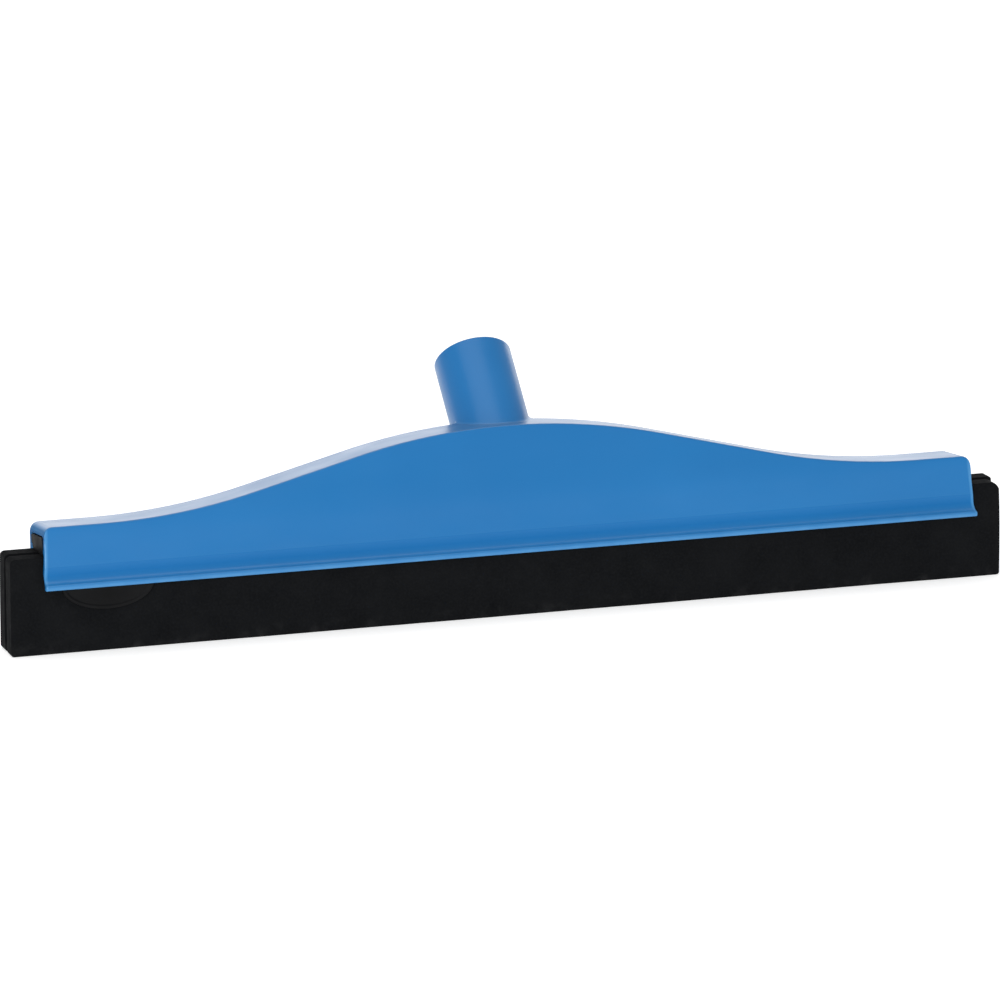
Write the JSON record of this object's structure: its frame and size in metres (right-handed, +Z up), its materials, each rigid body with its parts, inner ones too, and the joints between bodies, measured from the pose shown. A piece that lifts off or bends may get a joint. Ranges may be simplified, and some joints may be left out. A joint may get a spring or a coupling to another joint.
{
  "type": "floor squeegee head",
  "caption": "Floor squeegee head with a humped plastic body, a leaning threaded handle socket and a slide-out cassette that holds cellular rubber lips.",
  "frame": {"origin": "middle of the whole footprint (bounding box) on the floor plane under the lips", "axes": "+X along the blade towards the end away from the front release tab, +Y back towards the handle, +Z up"},
  "size_m": [0.5, 0.0906, 0.1255],
  "materials": {
    "head_plastic": "satin moulded polypropylene",
    "cassette_plastic": "satin black polypropylene",
    "lip_rubber": "matt closed-cell rubber",
    "tab_plastic": "semi-gloss black polypropylene",
    "rivet_plastic": "semi-gloss black nylon"
  },
  "bodies": {
    "head": {"head": "head_plastic"},
    "cassette": {"cassette_rail": "cassette_plastic", "front_clamp_strip": "cassette_plastic", "rear_clamp_strip": "cassette_plastic", "front_lip": "lip_rubber", "rear_lip": "lip_rubber", "rivets": "rivet_plastic"},
    "front_tab": {"front_release_tab": "tab_plastic"},
    "rear_tab": {"rear_release_tab": "tab_plastic"}
  },
  "joints": [
    {"name": "cassette_slide", "type": "slide", "parent": "head", "child": "cassette", "axis": [-1, 0, 0], "range_m": [0, 0.47]},
    {"name": "front_tab_press", "type": "hinge", "parent": "cassette", "child": "front_tab", "pos_m": [-0.2039, -0.03726, 0.0406], "axis": [1, 0, 0], "range_deg": [0, 6], "stiffness_Nm_per_rad": 0.6},
    {"name": "rear_tab_press", "type": "hinge", "parent": "cassette", "child": "rear_tab", "pos_m": [0.2039, -0.0173, 0.0406], "axis": [-1, 0, 0], "range_deg": [0, 6], "stiffness_Nm_per_rad": 0.6}
  ]
}
